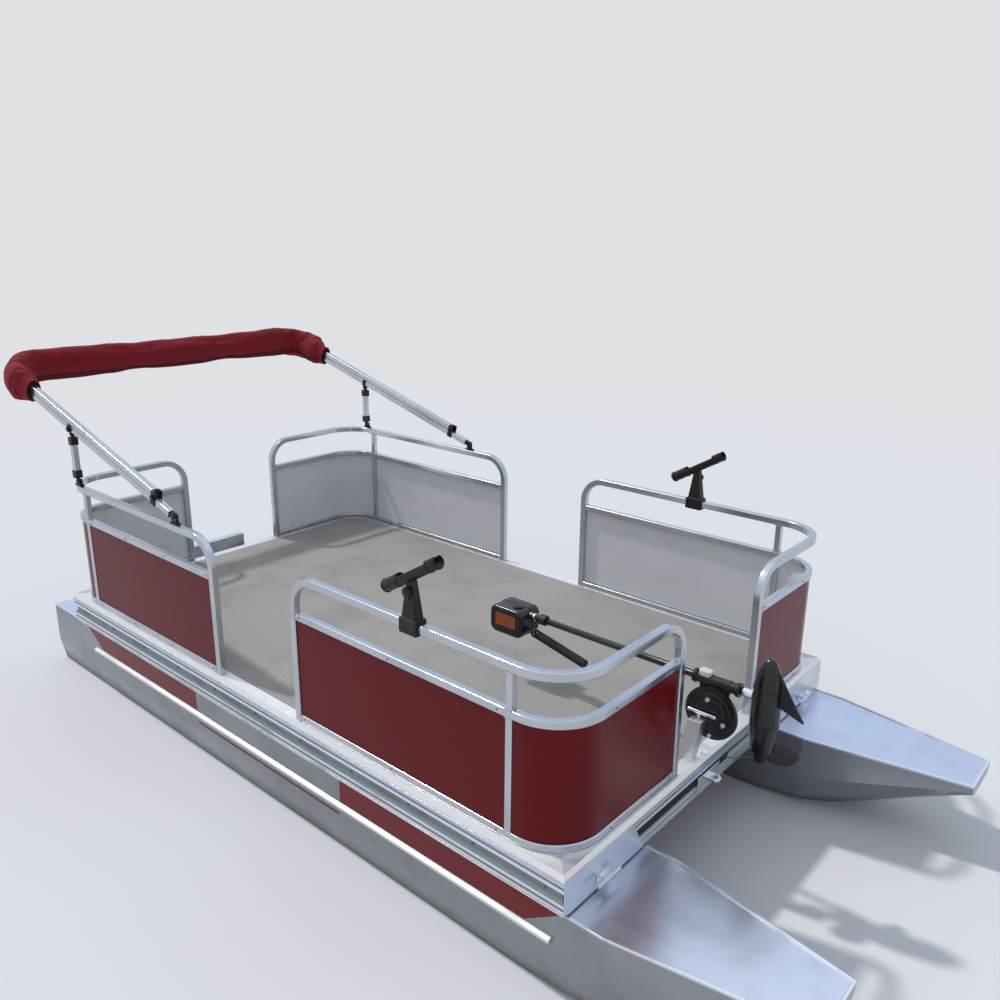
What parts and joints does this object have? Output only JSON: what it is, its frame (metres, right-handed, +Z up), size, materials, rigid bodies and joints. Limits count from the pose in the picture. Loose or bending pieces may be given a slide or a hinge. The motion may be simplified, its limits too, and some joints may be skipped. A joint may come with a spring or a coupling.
{
  "type": "pontoon boat",
  "caption": "Small decked pontoon boat with railings, a folded bimini and a tilting, swivelling bow trolling motor with a free-turning propeller.",
  "frame": {"origin": "on the floor under the middle of the overall length, where the pontoons' flat bottoms stand", "axes": "+X forward to the bow, +Y to port, +Z up"},
  "size_m": [4.737, 2.0576, 1.8914],
  "materials": {
    "pontoon": "mill finish, welded",
    "mill_aluminium": "mill finish",
    "board": "treated plywood",
    "deck_vinyl": "ribbed vinyl",
    "red_panel": "glossy deep red outside, light grey inside",
    "red_cloth": "woven canopy cover",
    "black_nylon": "moulded, matt",
    "black_paint": "satin black",
    "white_plastic": "moulded",
    "steel_shaft": "black shaft",
    "chrome": "polished"
  },
  "bodies": {
    "hull": {"pontoon_starboard": "pontoon", "pontoon_port": "pontoon", "cross_beams": "mill_aluminium", "deck_board": "board", "deck_covering": "deck_vinyl", "rub_rail_starboard": "mill_aluminium", "rub_rail_port": "mill_aluminium", "end_rail_stern": "mill_aluminium", "end_rail_bow": "mill_aluminium", "fence_frame_bow_starboard": "mill_aluminium", "fence_frame_bow_port": "mill_aluminium", "fence_frame_stern_starboard": "mill_aluminium", "fence_frame_stern_port": "mill_aluminium", "fence_panels_bow_starboard": "red_panel", "fence_panels_bow_port": "red_panel", "fence_panels_stern_starboard": "red_panel", "fence_panels_stern_port": "red_panel", "rod_holder_clamps": "black_nylon", "rod_holder_tubes": "black_nylon", "mooring_cleats": "chrome", "bow_eye": "chrome", "bow_corner_plates": "mill_aluminium", "bimini_rail_mounts": "black_nylon", "motor_riser": "mill_aluminium", "motor_disc": "black_nylon", "motor_lever": "mill_aluminium", "motor_well": "mill_aluminium"},
    "bimini": {"bimini_main_bow": "mill_aluminium", "bimini_second_bow": "mill_aluminium", "bimini_boot": "red_cloth", "bimini_eye_ends": "black_nylon", "bimini_clamps": "black_nylon"},
    "strut_starboard": {"bimini_strut_starboard": "mill_aluminium", "bimini_strut_ends_starboard": "black_nylon"},
    "strut_port": {"bimini_strut_port": "mill_aluminium", "bimini_strut_ends_port": "black_nylon"},
    "motor_arm": {"motor_arm": "black_nylon", "motor_knob": "white_plastic"},
    "motor_collar": {"motor_collar": "black_nylon"},
    "motor_shaft": {"motor_shaft": "steel_shaft", "motor_head": "black_nylon", "motor_pod": "black_paint"},
    "motor_tiller": {"motor_grip": "black_nylon"},
    "propeller": {"motor_propeller": "black_nylon"}
  },
  "joints": [
    {"name": "bimini_swing", "type": "hinge", "parent": "hull", "child": "bimini", "pos_m": [-0.64096, 0, 1.298], "axis": [0, 1, 0], "range_deg": [0, 95]},
    {"name": "strut_fold_starboard", "type": "hinge", "parent": "bimini", "child": "strut_starboard", "pos_m": [-1.58527, -0.966, 1.53164], "axis": [0, -1, 0], "range_deg": [0, 58]},
    {"name": "strut_fold_port", "type": "hinge", "parent": "bimini", "child": "strut_port", "pos_m": [-1.58527, 0.966, 1.53164], "axis": [0, -1, 0], "range_deg": [0, 58]},
    {"name": "motor_tilt", "type": "hinge", "parent": "hull", "child": "motor_arm", "pos_m": [1.60604, -0.1, 0.823], "axis": [0, 1, 0], "range_deg": [0, 90]},
    {"name": "motor_depth", "type": "slide", "parent": "motor_arm", "child": "motor_collar", "axis": [1, 0, 0], "range_m": [0, 0.7]},
    {"name": "motor_steer", "type": "hinge", "parent": "motor_collar", "child": "motor_shaft", "pos_m": [0.83404, -0.1, 0.937], "axis": [1, 0, 0], "range_deg": [-40, 170]},
    {"name": "tiller_fold", "type": "hinge", "parent": "motor_shaft", "child": "motor_tiller", "pos_m": [0.74104, -0.1, 0.861], "axis": [0, 1, 0], "range_deg": [0, 78]},
    {"name": "propeller_spin", "type": "hinge", "parent": "motor_shaft", "child": "propeller", "pos_m": [1.79904, -0.1, 0.714], "axis": [0, 0, 1], "continuous": true}
  ],
  "couplings": [
    {"joint": "motor_depth", "follows": "motor_tilt", "m_per_rad": 0.4456},
    {"joint": "tiller_fold", "follows": "motor_tilt", "ratio": 0.8666}
  ]
}
